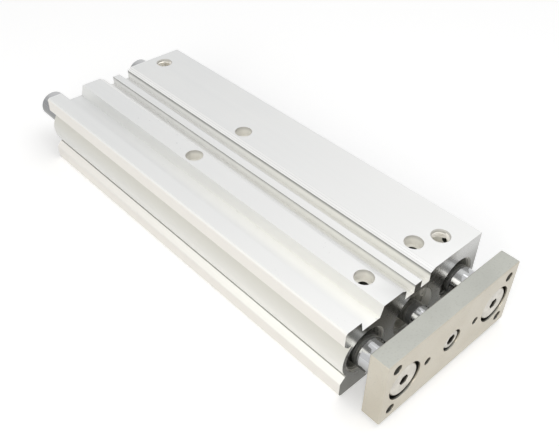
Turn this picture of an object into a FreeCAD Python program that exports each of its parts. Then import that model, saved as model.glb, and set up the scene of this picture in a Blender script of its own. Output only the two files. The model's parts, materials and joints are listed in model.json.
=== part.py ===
import FreeCAD, Part
import os
import re
import Sketcher
from FreeCAD import Placement, Rotation, Vector

# Guided pneumatic cylinder, 25 mm bore and 200 mm stroke, with two slide-bearing guide rods.
#
# Frame: X is the stroke, and the plate is at its +X end. Y goes across the body, and the ports are
# on its +Y side. Z is up, and the underside is at z = 0. The origin is the centre of the four
# mounting holes, on the underside. The carriage (plate, rods, piston) stands at rest_reach.

# Driving dimensions in millimetres, one cell of the sheet each. Lengths called depth are measured
# along X, inward from the end face that they belong to.
SIZES = {
    # cylinder
    "stroke": 200.0,
    "rest_reach": 6.0,
    "stop_gap": 0.3,
    "bore_r": 12.5,
    # body extrusion
    "body_width": 93.0,
    "body_height": 42.0,
    "body_extra": 37.5,
    "front_reach": 77.0,
    "bulge_step": 0.3,
    "left_lip": 8.0,
    "left_notch": 2.4,
    "left_notch_drop": 2.6,
    "foot_height": 8.7,
    "foot_top": 11.7,
    "foot_lean": 0.5,
    "foot_round": 2.0,
    "corner_bevel": 1.0,
    "recess_edge": 9.3,
    "recess_well_wall": 1.45,
    "recess_depth": 6.0,
    "recess_outer_lean": 1.2,
    "recess_inner_lean": 1.8,
    "flank_start": 11.4,
    "flank_end": 8.4,
    "flank_drop": 1.6,
    "groove_wall": 0.5,
    "rib_half": 2.3,
    "rib_drop": 2.0,
    # guide rods, their holes and their bushes
    "guide_r": 8.0,
    "guide_tail": 26.5,
    "guide_run_gap": 1.0,
    "guide_mouth_r": 12.0,
    "guide_mouth_depth": 10.0,
    "bush_wall": 2.0,
    "bush_length": 20.0,
    "bush_span": 54.0,
    "running_gap": 0.03,
    "seat_gap": 0.02,
    "rod_bevel": 1.0,
    # wiper felt, its holder and its snap ring
    "snap_depth": 0.9,
    "snap_thick": 1.2,
    "snap_bite": 0.7,
    "snap_width": 1.5,
    "holder_gap": 0.4,
    "holder_lip": 0.8,
    "holder_wall": 0.6,
    "rib_height": 0.7,
    "rib_width": 0.7,
    "rib_pitch": 1.7,
    "felt_thick": 2.0,
    "felt_gap": 0.05,
    # covers of the bore
    "cover_r": 13.2,
    "ring_thick": 1.2,
    "ring_bite": 0.7,
    "ring_width": 2.7,
    "ring_slack": 0.05,
    "ring_gap_half": 2.6,
    "eye_r": 2.1,
    "eye_hole_r": 0.9,
    "front_ring_depth": 3.0,
    "rear_ring_depth": 1.2,
    "rod_cover_flange": 5.6,
    "rod_cover_nose": 6.0,
    "nose_r": 11.0,
    "collar_r": 8.5,
    "collar_drop": 1.5,
    "dish_r": 10.5,
    "dish_depth": 2.3,
    "head_cover_thick": 4.5,
    "gasket_wire_r": 0.8,
    "gasket_room": 0.3,
    "gasket_wall": 1.2,
    "rod_lip": 0.4,
    "rod_lip_length": 1.0,
    "seal_length": 2.6,
    "seal_depth": 2.3,
    "seal_lip": 0.4,
    "bush_shell": 1.5,
    # bumpers
    "bumper_thick": 2.0,
    "bumper_seat": 1.0,
    "bumper_rim": 1.0,
    "rear_bumper_r": 9.0,
    # piston and piston rod
    "rod_r": 6.0,
    "spigot_r": 4.0,
    "piston_gap": 0.1,
    "piston_seal_gap": 0.05,
    "piston_seal_width": 2.8,
    "piston_seal_depth": 2.9,
    "piston_seal_crest": 0.9,
    "piston_seal_valley": 1.0,
    "magnet_width": 2.6,
    "magnet_depth": 3.2,
    "magnet_sink": 0.4,
    "wear_ring_width": 2.8,
    "wear_ring_depth": 1.2,
    "piston_bevel": 0.4,
    # plate
    "plate_side_step": 1.0,
    "plate_top_step": 2.0,
    "plate_thick": 10.0,
    "closed_gap": 6.0,
    "plate_bevel": 0.4,
    "plate_hole_side": 6.5,
    "plate_hole_top": 6.0,
    "plate_hole_r": 2.5,
    "dowel_r": 2.0,
    "dowel_depth": 6.0,
    # bolts of the plate
    "rod_bolt_r": 3.0,
    "rod_bolt_length": 17.0,
    "rod_bolt_head_r": 4.9,
    "rod_bolt_head": 6.0,
    "rod_bolt_well_r": 5.8,
    "guide_bolt_r": 4.0,
    "guide_bolt_length": 22.0,
    "guide_bolt_head_r": 8.4,
    "guide_bolt_head": 4.4,
    "guide_bolt_well_r": 9.8,
    "bolt_sink": 0.6,
    "bolt_room": 0.3,
    "socket_flats": 5.0,
    "socket_depth": 2.6,
    "head_bevel": 0.5,
    # mounting holes
    "mount_pitch_x": 120.0,
    "mount_r": 2.7,
    "mount_well_r": 4.75,
    "mount_well_depth": 5.5,
    "pin_r": 2.0,
    "pin_depth": 6.0,
    "pin_slot": 0.5,
    "rear_hole_edge": 5.5,
    "rear_hole_r": 2.5,
    "rear_hole_depth": 12.0,
    # ports
    "port_edge": 16.5,
    "port_r": 4.3,
    "port_depth": 7.5,
    "port_bevel": 0.6,
    "front_port_depth": 11.5,
    "rear_port_depth": 9.0,
    "side_port_drop": 5.7,
    "side_port_depth": 7.2,
    "plug_length": 6.2,
    "plug_sink": 0.5,
    "passage_r": 1.5,
    "passage_drop": 3.5,
    "passage_reach": 1.0,
    "passage_end_y": 9.0,
    "passage_end_rise": 7.5,
}

# Shares of the body's width, without a unit. They keep the holes clear of the bore and of the
# sides when the width changes.
SHARES = {
    "guide_share": 64.0 / 93.0,
    "mount_share": 34.0 / 93.0,
}

# Places that follow from the sizes.
PLACES = {
    "side": "body_width / 2",
    "axis_z": "body_height / 2",
    "guide_y": "side * guide_share",
    "mount_y": "side * mount_share",
    "port_y": "side - port_edge",
    "side_port_z": "body_height - side_port_drop",
    "front": "front_reach",
    "body_length": "stroke + body_extra",
    "rear": "front - body_length",
    # outline of the extrusion
    "bulge_r": "side - guide_y - bulge_step",
    "notch_inner": "guide_y + bulge_r / 2",
    "recess_outer": "side - recess_edge",
    "recess_inner": "mount_y + mount_well_r + recess_well_wall",
    "groove_floor": "axis_z + ring_groove_r + groove_wall",
    # front end of the bore, from the end face inward
    "rod_cover_front": "front - front_ring_depth - ring_thick",
    "rod_cover_step": "rod_cover_front - rod_cover_flange",
    "rod_cover_end": "rod_cover_step - rod_cover_nose",
    "front_bumper_base": "rod_cover_end + bumper_seat",
    "front_stop": "front_bumper_base - bumper_thick",
    # rear end of the bore
    "head_cover_back": "rear + rear_ring_depth + ring_thick",
    "head_cover_front": "head_cover_back + head_cover_thick",
    "rear_bumper_base": "head_cover_front - bumper_seat",
    "rear_stop": "rear_bumper_base + bumper_thick",
    # covers and their gaskets
    "cover_fit_r": "cover_r - seat_gap",
    "gasket_floor_r": "cover_fit_r - 2 * gasket_wire_r",
    "gasket_groove": "2 * gasket_wire_r + gasket_room",
    "ring_groove_r": "cover_r + ring_bite",
    # piston, at rest
    "piston_back": "rear_stop + stop_gap + rest_reach",
    "piston_front": "front_stop - stop_gap - stroke + rest_reach",
    "piston_length": "piston_front - piston_back",
    "piston_r": "bore_r - piston_gap",
    "land": "(piston_length - piston_seal_width - magnet_width - wear_ring_width) / 4",
    "seal_groove_x": "piston_back + land",
    "magnet_groove_x": "seal_groove_x + piston_seal_width + land",
    "wear_groove_x": "magnet_groove_x + magnet_width + land",
    # plate and bolts, at rest
    "plate_back": "front + closed_gap + rest_reach",
    "plate_front": "plate_back + plate_thick",
    "plate_half_width": "side - plate_side_step",
    "plate_half_height": "axis_z - plate_top_step",
    "rod_well_floor": "plate_front - bolt_sink - rod_bolt_head",
    "guide_well_floor": "plate_front - bolt_sink - guide_bolt_head",
    # guide holes
    "bush_outer_r": "guide_r + running_gap + bush_wall",
    "bush_hole_r": "bush_outer_r + seat_gap",
    "bush_mouth": "front - guide_mouth_depth",
    "bush_floor": "bush_mouth - bush_span",
    "guide_clear_r": "guide_r + guide_run_gap",
    "snap_back": "front - snap_depth - snap_thick",
    "holder_front": "snap_back",
    "holder_back": "bush_mouth + felt_thick",
    "guide_back": "rear - guide_tail",
    # piston rod inside the rod cover
    "rod_bush_r": "rod_r + running_gap + bush_shell",
    "rod_lip_r": "rod_r + rod_lip",
    "seal_outer_r": "rod_r + seal_depth",
    "seal_front": "rod_cover_front - collar_drop - rod_lip_length",
    "seal_back": "seal_front - seal_length",
    "rod_bush_front": "seal_back - rod_lip_length",
}

# The open side of each retaining ring looks up and to the port side, and each side plug lies
# across the body.
RING_TURN = Rotation(Vector(1, 0, 0), -50)
PLUG_TURN = Rotation(Vector(0, 0, 1), 90)
HOLDER_RIBS = 3

doc = FreeCAD.newDocument("guided_cylinder")
sheet = doc.addObject("Spreadsheet::Sheet", "sizes")
CELLS = SIZES | SHARES
for row, (name, size) in enumerate(CELLS.items(), start=1):
    sheet.set(f"A{row}", name)
    sheet.set(f"B{row}", str(size))
    sheet.setAlias(f"B{row}", name)
doc.recompute()


def bind(text):
    """Turn a formula over the names above into an expression over the cells of the sheet."""

    def replace(match):
        word = match.group()
        if word in PLACES:
            return f"({bind(PLACES[word])})"
        return f"sizes.{word}" if word in CELLS else word

    return re.sub(r"[a-z_]+", replace, text)


def value(text):
    """Give the present value of a formula, in millimetres."""
    result = sheet.evalExpression(bind(text))
    return float(getattr(result, "Value", result))


def new_body(label, x="0", y="0", z="0", turn=None):
    """Start a sub-part, whose own origin stands at (x, y, z)."""
    body = doc.addObject("PartDesign::Body", label)
    body.Label = label
    if turn:
        body.Placement = Placement(Vector(), turn)
    for axis, text in zip("xyz", (x, y, z)):
        body.setExpression(f"Placement.Base.{axis}", bind(text))
    return body


def new_sketch(body, name, plane, offset="0"):
    """Put an empty sketch on one of the body's origin planes, moved along the plane's normal."""
    support = next(item for item in body.Origin.OriginFeatures if item.Role == plane)
    sketch = body.newObject("Sketcher::SketchObject", name)
    sketch.AttachmentSupport = [(support, "")]
    sketch.MapMode = "FlatFace"
    sketch.setExpression("AttachmentOffset.Base.z", bind(offset))
    return sketch


def constrain(sketch, constraint, text):
    """Add one constraint and bind its value to the sheet."""
    number = sketch.addConstraint(constraint)
    sketch.setExpression(f"Constraints[{number}]", bind(text))


def fix_point(sketch, geometry, vertex, u, v):
    """Bind both coordinates of a point in a sketch."""
    across = Sketcher.Constraint("DistanceX", -1, 1, geometry, vertex, value(u))
    up = Sketcher.Constraint("DistanceY", -1, 1, geometry, vertex, value(v))
    constrain(sketch, across, u)
    constrain(sketch, up, v)


def add_outline(sketch, corners):
    """Draw a closed outline of straight edges through the corners, given as pairs of formulas."""
    points = [Vector(value(u), value(v), 0) for u, v in corners]
    first = sketch.GeometryCount
    count = len(points)
    for index, point in enumerate(points):
        sketch.addGeometry(Part.LineSegment(point, points[(index + 1) % count]), False)
    for index, (u, v) in enumerate(corners):
        following = first + (index + 1) % count
        sketch.addConstraint(Sketcher.Constraint("Coincident", first + index, 2, following, 1))
        fix_point(sketch, first + index, 1, u, v)


def add_circle(sketch, u, v, radius):
    """Draw a circle whose centre and radius are formulas."""
    centre = Vector(value(u), value(v), 0)
    circle = Part.Circle(centre, Vector(0, 0, 1), value(radius))
    geometry = sketch.addGeometry(circle, False)
    fix_point(sketch, geometry, 3, u, v)
    constrain(sketch, Sketcher.Constraint("Radius", geometry, value(radius)), radius)


def rectangle(u_low, v_low, u_high, v_high):
    """Give the four corners of a rectangle."""
    return [(u_low, v_low), (u_high, v_low), (u_high, v_high), (u_low, v_high)]


def hexagon(flats):
    """Give the six corners of a hexagon round the origin, from its size across flats."""
    reach = f"{flats} / sqrt(3)"
    return [
        (f"{reach} * cos({angle} deg)", f"{reach} * sin({angle} deg)")
        for angle in range(0, 360, 60)
    ]


def pad(body, name, sketch, length):
    """Raise a sketch along its normal."""
    feature = body.newObject("PartDesign::Pad", name)
    feature.Profile = sketch
    feature.setExpression("Length", bind(length))
    return feature


def pocket(body, name, sketch, depth, forward=False):
    """Cut a sketch into the body, against its normal unless forward is set."""
    feature = body.newObject("PartDesign::Pocket", name)
    feature.Profile = sketch
    feature.Reversed = forward
    feature.setExpression("Length", bind(depth))
    return feature


def turn_sketch(body, kind, name, sketch, axis):
    """Revolve or groove a sketch by a full turn round one of its axes or edges."""
    feature = body.newObject(f"PartDesign::{kind}", name)
    feature.Profile = sketch
    feature.ReferenceAxis = (sketch, [axis])
    feature.Angle = 360
    return feature


def turned(label, y, corners, z="axis_z", x="0", turn=None):
    """Make a sub-part by turning a half section round its X axis; corners are (x, radius)."""
    body = new_body(label, x, y, z, turn)
    section = new_sketch(body, f"{label}_section", "XZ_Plane")
    add_outline(section, corners)
    turn_sketch(body, "Revolution", f"{label}_turned", section, "H_Axis")
    return body


def tube(label, y, x_low, x_high, r_inner, r_outer):
    """Make a plain ring or bush along X."""
    return turned(label, y, rectangle(x_low, r_inner, x_high, r_outer))


def drill(body, name, plane, offset, centres, radius, depth, forward=False):
    """Drill equal round holes from a plane; centres are pairs of formulas."""
    sketch = new_sketch(body, f"{name}_sketch", plane, offset)
    for u, v in centres:
        add_circle(sketch, u, v, radius)
    return pocket(body, name, sketch, depth, forward)


def corners_of(u_reach, v_reach, v_middle="0"):
    """Give the four centres of a rectangular hole pattern, from its reach each way."""
    return [
        (f"0 {side} {u_reach}", f"{v_middle} {end} {v_reach}")
        for side in "+-"
        for end in "+-"
    ]


def edges_at(feature, test):
    """Name the edges of a feature whose both ends and middle pass the test."""
    names = []
    for number, edge in enumerate(feature.Shape.Edges, start=1):
        middle = edge.valueAt((edge.FirstParameter + edge.LastParameter) / 2)
        points = [vertex.Point for vertex in edge.Vertexes] + [middle]
        if all(test(point) for point in points):
            names.append(f"Edge{number}")
    return names


def dress(body, kind, name, feature, test, size):
    """Fillet or chamfer the edges of a feature that pass the test."""
    doc.recompute()
    dressed = body.newObject(f"PartDesign::{kind}", name)
    dressed.Base = (feature, edges_at(feature, test))
    dressed.setExpression("Radius" if kind == "Fillet" else "Size", bind(size))
    return dressed


def body_outline():
    """Give the extrusion's outline: across (Y) and up (Z), from the left top corner."""
    top = "body_height"
    return [
        ("-side", f"{top} - corner_bevel"),
        ("-side + corner_bevel", top),
        ("-recess_outer", top),
        ("-recess_outer + recess_outer_lean", f"{top} - recess_depth"),
        ("-recess_inner - recess_inner_lean", f"{top} - recess_depth"),
        ("-recess_inner", top),
        ("-flank_start", top),
        ("-flank_end", f"{top} - flank_drop"),
        ("-flank_end", "groove_floor"),
        ("-rib_half", "groove_floor"),
        ("-rib_half", f"{top} - rib_drop"),
        ("rib_half", f"{top} - rib_drop"),
        ("rib_half", "groove_floor"),
        ("flank_end", "groove_floor"),
        ("flank_end", f"{top} - flank_drop"),
        ("flank_start", top),
        ("side", top),
        ("side", "0"),
        ("-side", "0"),
        ("-side", "foot_height"),
        ("-side + left_notch + foot_lean", "foot_top"),
        ("-notch_inner", "foot_top"),
        ("-notch_inner", f"{top} - left_lip - left_notch_drop"),
        ("-side + left_notch", f"{top} - left_lip - left_notch_drop"),
        ("-side", f"{top} - left_lip"),
    ]


def cut_bore(body):
    """Bore the cylinder, its cover seats and the grooves of its retaining rings."""
    section = new_sketch(body, "bore_section", "XZ_Plane")
    ring_back = "rod_cover_front - ring_slack"
    ring_front = "rod_cover_front + ring_thick + ring_slack"
    head_ring_back = "rear + rear_ring_depth - ring_slack"
    head_ring_front = "head_cover_back + ring_slack"
    steps = [
        ("front", "cover_r"),
        (ring_front, "cover_r"),
        (ring_front, "ring_groove_r"),
        (ring_back, "ring_groove_r"),
        (ring_back, "cover_r"),
        ("rod_cover_step", "cover_r"),
        ("rod_cover_step", "bore_r"),
        ("head_cover_front", "bore_r"),
        ("head_cover_front", "cover_r"),
        (head_ring_front, "cover_r"),
        (head_ring_front, "ring_groove_r"),
        (head_ring_back, "ring_groove_r"),
        (head_ring_back, "cover_r"),
        ("rear", "cover_r"),
    ]
    corners = [(x, f"axis_z + {radius}") for x, radius in steps]
    add_outline(section, [("front", "axis_z")] + corners + [("rear", "axis_z")])
    turn_sketch(body, "Groove", "bore", section, f"Edge{len(corners) + 2}")


def cut_guide_hole(body, side, y):
    """Bore one guide hole: wiper mouth with snap-ring groove, bush seat and running clearance."""
    sketch_rings = [
        ("mouth", "front", "guide_mouth_r", "guide_mouth_depth"),
        ("snap", "front - snap_depth", "guide_mouth_r + snap_bite", "snap_thick"),
        ("bush_seat", "front", "bush_hole_r", "front - bush_floor"),
        ("clearance", "front", "guide_clear_r", "body_length"),
    ]
    for part, start, radius, depth in sketch_rings:
        drill(body, f"{side}_{part}", "YZ_Plane", start, [(y, "axis_z")], radius, depth)


def cut_port(body, end, x):
    """Cut the top port and the side port of one end, and the passage from them to the bore."""
    mouth_r = "port_r + port_bevel"
    centre = [(x, "port_y")]
    drill(body, f"{end}_port", "XY_Plane", "body_height", centre, "port_r", "port_depth")
    mouth = new_sketch(body, f"{end}_port_mouth_section", "XZ_Plane", "-port_y")
    top = "body_height"
    add_outline(mouth, [(x, top), (f"{x} + {mouth_r}", top), (x, f"{top} - ({mouth_r})")])
    turn_sketch(body, "Groove", f"{end}_port_mouth", mouth, "Edge3")
    side_centre = [(x, "side_port_z")]
    drill(body, f"{end}_side_port", "XZ_Plane", "-side", side_centre, "port_r",
          "side_port_depth", forward=True)
    passage = new_sketch(body, f"{end}_passage_section", "YZ_Plane", x)
    start = ("passage_end_y", "axis_z + passage_end_rise")
    finish = ("side - side_port_depth + passage_reach", "body_height - passage_drop")
    run, rise = (f"({far} - ({near}))" for near, far in zip(start, finish))
    length = f"sqrt({run} * {run} + {rise} * {rise})"
    shift = (f"-passage_r * {rise} / {length}", f"passage_r * {run} / {length}")
    far_corners = [(f"{u} + ({shift[0]})", f"{v} + ({shift[1]})") for u, v in (finish, start)]
    add_outline(passage, [start, finish] + far_corners)
    turn_sketch(body, "Groove", f"{end}_passage", passage, "Edge1")


def cut_mounting_holes(body):
    """Cut the through holes with their wells, the dowel holes below and the rear tapped holes."""
    holes = corners_of("mount_pitch_x / 2", "mount_y")
    drill(body, "mount_holes", "XY_Plane", "body_height", holes, "mount_r", "body_height")
    drill(body, "mount_wells", "XY_Plane", "body_height", holes, "mount_well_r",
          "mount_well_depth")
    drill(body, "dowel_hole", "XY_Plane", "0", [("0", "-mount_y")], "pin_r", "pin_depth",
          forward=True)
    slot = new_sketch(body, "dowel_slot_sketch", "XY_Plane")
    add_outline(slot, rectangle("-pin_r - pin_slot / 2", "mount_y - pin_r",
                                "pin_r + pin_slot / 2", "mount_y + pin_r"))
    pocket(body, "dowel_slot", slot, "pin_depth", forward=True)
    rear_holes = corners_of("mount_y", "(axis_z - rear_hole_edge)", v_middle="axis_z")
    drill(body, "rear_holes", "YZ_Plane", "rear", rear_holes, "rear_hole_r",
          "rear_hole_depth", forward=True)


def make_body():
    """Extrude the body, round its feet and cut everything that is machined into it."""
    body = new_body("body")
    outline = new_sketch(body, "body_outline", "YZ_Plane", "rear")
    add_outline(outline, body_outline())
    extrusion = pad(body, "extrusion", outline, "body_length")
    low = value("side")

    def is_foot_edge(point):
        return abs(abs(point.y) - low) < 0.01 and abs(point.z) < 0.01

    dress(body, "Fillet", "foot_rounds", extrusion, is_foot_edge, "foot_round")
    bulge = new_sketch(body, "bulge_sketch", "YZ_Plane", "rear")
    add_circle(bulge, "-guide_y", "axis_z", "bulge_r")
    pad(body, "guide_bulge", bulge, "body_length")
    cut_bore(body)
    for side, y in (("left", "-guide_y"), ("right", "guide_y")):
        cut_guide_hole(body, side, y)
    cut_port(body, "front", "front - front_port_depth")
    cut_port(body, "rear", "rear + rear_port_depth")
    cut_mounting_holes(body)
    return body


def make_port_plug(end, x):
    """Make a taper plug with a hex socket, which closes one side port."""
    plug = turned(
        f"port_plug_{end}",
        "side - plug_sink - plug_length",
        [
            ("0", "0"),
            ("plug_length", "0"),
            ("plug_length", "port_r - seat_gap"),
            ("head_bevel", "port_r - seat_gap"),
            ("0", "port_r - seat_gap - head_bevel"),
        ],
        z="side_port_z",
        x=x,
        turn=PLUG_TURN,
    )
    cut_socket(plug, f"{end}_plug_socket", "plug_length")
    return plug


def cut_socket(body, name, x):
    """Cut a hex socket from a plane across the sub-part's own X axis."""
    sketch = new_sketch(body, f"{name}_sketch", "YZ_Plane", x)
    add_outline(sketch, hexagon("socket_flats"))
    return pocket(body, name, sketch, "socket_depth")


def make_retaining_ring(label, x):
    """Make an internal retaining ring with two eyes, open at one side."""
    body = new_body(label, z="axis_z", turn=RING_TURN)
    inner_r = "(ring_groove_r - ring_slack - ring_width)"
    band = new_sketch(body, f"{label}_band_sketch", "YZ_Plane", x)
    add_circle(band, "0", "0", "ring_groove_r - ring_slack")
    add_circle(band, "0", "0", inner_r)
    pad(body, f"{label}_band", band, "ring_thick")
    gap = new_sketch(body, f"{label}_gap_sketch", "YZ_Plane", x)
    add_outline(gap, rectangle("-ring_gap_half", "0", "ring_gap_half", "2 * ring_groove_r"))
    pocket(body, f"{label}_gap", gap, "ring_thick", forward=True)
    eye_u = "(ring_gap_half + eye_r)"
    eye_v = f"sqrt({inner_r} * {inner_r} - {eye_u} * {eye_u})"
    for side in "+-":
        name = f"{label}_{'right' if side == '+' else 'left'}_eye"
        eye = new_sketch(body, f"{name}_sketch", "YZ_Plane", x)
        add_circle(eye, f"{side}{eye_u}", eye_v, "eye_r")
        pad(body, name, eye, "ring_thick")
        hole = new_sketch(body, f"{name}_hole_sketch", "YZ_Plane", x)
        add_circle(hole, f"{side}{eye_u}", eye_v, "eye_hole_r")
        pocket(body, f"{name}_hole", hole, "ring_thick", forward=True)
    return body


def make_gasket(label, x):
    """Make an O-ring, centred at x in its groove."""
    body = new_body(label, z="axis_z")
    section = new_sketch(body, f"{label}_section", "XZ_Plane")
    add_circle(section, x, "gasket_floor_r + gasket_wire_r", "gasket_wire_r - seat_gap / 2")
    turn_sketch(body, "Revolution", f"{label}_turned", section, "H_Axis")
    return body


def make_rod_cover():
    """Turn the rod cover: flange with gasket groove, dish and collar, nose, seal, bush seat."""
    groove_front = "rod_cover_step + gasket_wall + gasket_groove"
    groove_back = "rod_cover_step + gasket_wall"
    bumper_r = "(nose_r - bumper_rim + seat_gap)"
    return turned(
        "rod_cover",
        "0",
        [
            ("rod_cover_front - collar_drop", "rod_lip_r"),
            ("rod_cover_front - collar_drop", "collar_r"),
            ("rod_cover_front - dish_depth", "collar_r"),
            ("rod_cover_front - dish_depth", "dish_r"),
            ("rod_cover_front", "dish_r"),
            ("rod_cover_front", "cover_fit_r"),
            (groove_front, "cover_fit_r"),
            (groove_front, "gasket_floor_r"),
            (groove_back, "gasket_floor_r"),
            (groove_back, "cover_fit_r"),
            ("rod_cover_step", "cover_fit_r"),
            ("rod_cover_step", "nose_r"),
            ("rod_cover_end", "nose_r"),
            ("rod_cover_end", bumper_r),
            ("front_bumper_base", bumper_r),
            ("front_bumper_base", "rod_bush_r + seat_gap"),
            ("rod_bush_front", "rod_bush_r + seat_gap"),
            ("rod_bush_front", "rod_lip_r"),
            ("seal_back", "rod_lip_r"),
            ("seal_back", "seal_outer_r"),
            ("seal_front", "seal_outer_r"),
            ("seal_front", "rod_lip_r"),
        ],
    )


def make_rod_seal():
    """Turn the rod's U-cup, open towards the pressure side."""
    inner_r = "rod_r + running_gap"
    outer_r = "seal_outer_r - seat_gap"
    middle_r = "rod_r + seal_depth / 2"
    return turned(
        "rod_seal",
        "0",
        [
            ("seal_front", inner_r),
            ("seal_front", outer_r),
            ("seal_back", outer_r),
            ("seal_back", f"{outer_r} - seal_lip"),
            ("seal_back + seal_length / 2", middle_r),
            ("seal_back", f"{inner_r} + seal_lip"),
            ("seal_back", inner_r),
        ],
    )


def make_head_cover():
    """Turn the head cover: a disc with a gasket groove, a bumper seat and a turning centre."""
    groove_back = "head_cover_back + gasket_wall"
    groove_front = "head_cover_back + gasket_wall + gasket_groove"
    return turned(
        "head_cover",
        "0",
        [
            ("head_cover_back + bumper_seat", "0"),
            ("head_cover_back", "bumper_seat"),
            ("head_cover_back", "cover_fit_r"),
            (groove_back, "cover_fit_r"),
            (groove_back, "gasket_floor_r"),
            (groove_front, "gasket_floor_r"),
            (groove_front, "cover_fit_r"),
            ("head_cover_front", "cover_fit_r"),
            ("head_cover_front", "rear_bumper_r + seat_gap"),
            ("rear_bumper_base", "rear_bumper_r + seat_gap"),
            ("rear_bumper_base", "0"),
        ],
    )


def make_piston():
    """Turn the piston with grooves for seal, magnet and wear ring."""
    grooves = [
        ("seal_groove_x", "piston_seal_width", "piston_seal_depth"),
        ("magnet_groove_x", "magnet_width", "magnet_depth"),
        ("wear_groove_x", "wear_ring_width", "wear_ring_depth"),
    ]
    corners = [
        ("piston_back", "spigot_r + seat_gap"),
        ("piston_back", "piston_r - piston_bevel"),
        ("piston_back + piston_bevel", "piston_r"),
    ]
    for x, width, depth in grooves:
        corners += [
            (x, "piston_r"),
            (x, f"piston_r - {depth}"),
            (f"{x} + {width}", f"piston_r - {depth}"),
            (f"{x} + {width}", "piston_r"),
        ]
    corners += [
        ("piston_front - piston_bevel", "piston_r"),
        ("piston_front", "piston_r - piston_bevel"),
        ("piston_front", "spigot_r + seat_gap"),
    ]
    return turned("piston", "0", corners)


def make_piston_rings():
    """Make the three rings in the piston's grooves."""
    seal_floor = "piston_r - piston_seal_depth + seat_gap"
    seal_top = "bore_r - piston_seal_gap"
    seal_end = "seal_groove_x + piston_seal_width"
    turned(
        "piston_seal",
        "0",
        [
            ("seal_groove_x", seal_floor),
            ("seal_groove_x", seal_top),
            ("seal_groove_x + piston_seal_crest", seal_top),
            ("seal_groove_x + piston_seal_width / 2", f"{seal_top} - piston_seal_valley"),
            (f"{seal_end} - piston_seal_crest", seal_top),
            (seal_end, seal_top),
            (seal_end, seal_floor),
        ],
    )
    tube("piston_magnet", "0", "magnet_groove_x", "magnet_groove_x + magnet_width",
         "piston_r - magnet_depth + seat_gap", "piston_r - magnet_sink")
    tube("piston_wear_ring", "0", "wear_groove_x", "wear_groove_x + wear_ring_width",
         "piston_r - wear_ring_depth + seat_gap", "bore_r - piston_seal_gap")


def make_rod(label, y, radius, back, bolt_r, bolt_end):
    """Turn a guide rod: bevelled at both ends and tapped for its bolt at the plate."""
    thread_r = f"{bolt_r} + seat_gap"
    return turned(
        label,
        y,
        [
            (back, "0"),
            (back, f"{radius} - rod_bevel"),
            (f"{back} + rod_bevel", radius),
            ("plate_back - rod_bevel / 2", radius),
            ("plate_back", f"{radius} - rod_bevel / 2"),
            ("plate_back", thread_r),
            (bolt_end, thread_r),
            (f"{bolt_end} - {bolt_r}", "0"),
        ],
    )


def make_piston_rod():
    """Turn the piston rod with the spigot that carries the piston."""
    thread_r = "rod_bolt_r + seat_gap"
    bolt_end = "rod_well_floor - rod_bolt_length"
    return turned(
        "piston_rod",
        "0",
        [
            ("piston_back", "0"),
            ("piston_back", "spigot_r"),
            ("piston_front", "spigot_r"),
            ("piston_front", "rod_r"),
            ("plate_back - rod_bevel / 2", "rod_r"),
            ("plate_back", "rod_r - rod_bevel / 2"),
            ("plate_back", thread_r),
            (bolt_end, thread_r),
            (f"{bolt_end} - rod_bolt_r", "0"),
        ],
    )


def make_plate():
    """Make the plate with its wells, bolt holes, tapped corner holes and dowel holes."""
    body = new_body("plate", x="plate_back", z="axis_z")
    outline = new_sketch(body, "plate_outline", "YZ_Plane")
    add_outline(outline, rectangle("-plate_half_width", "-plate_half_height",
                                   "plate_half_width", "plate_half_height"))
    slab = pad(body, "slab", outline, "plate_thick")
    bevelled = dress(body, "Chamfer", "plate_bevels", slab, lambda point: True, "plate_bevel")
    body.Tip = bevelled
    front = "plate_thick"
    guides = [("guide_y", "0"), ("-guide_y", "0")]
    corner_holes = corners_of("(plate_half_width - plate_hole_side)",
                              "(plate_half_height - plate_hole_top)")
    holes = [
        ("rod_bolt_well", [("0", "0")], "rod_bolt_well_r", "bolt_sink + rod_bolt_head"),
        ("rod_bolt_hole", [("0", "0")], "rod_bolt_r + bolt_room", "plate_thick"),
        ("guide_bolt_wells", guides, "guide_bolt_well_r", "bolt_sink + guide_bolt_head"),
        ("guide_bolt_holes", guides, "guide_bolt_r + bolt_room", "plate_thick"),
        ("corner_holes", corner_holes, "plate_hole_r", "plate_thick"),
        ("dowel_holes", [("mount_y", "0"), ("-mount_y", "0")], "dowel_r", "dowel_depth"),
    ]
    for name, centres, radius, depth in holes:
        drill(body, name, "YZ_Plane", front, centres, radius, depth)
    return body


def make_bolt(label, y, seat, shank_r, length, head_r, head):
    """Make a socket-head bolt whose head rests on the floor of its well."""
    bolt = turned(
        label,
        y,
        [
            ("0", "0"),
            (head, "0"),
            (head, f"{head_r} - head_bevel"),
            (f"{head} - head_bevel", head_r),
            ("0", head_r),
            ("0", shank_r),
            (f"-{length} + head_bevel", shank_r),
            (f"-{length}", f"{shank_r} - head_bevel"),
            (f"-{length}", "0"),
        ],
        x=seat,
    )
    cut_socket(bolt, f"{label}_socket", head)
    return bolt


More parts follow.
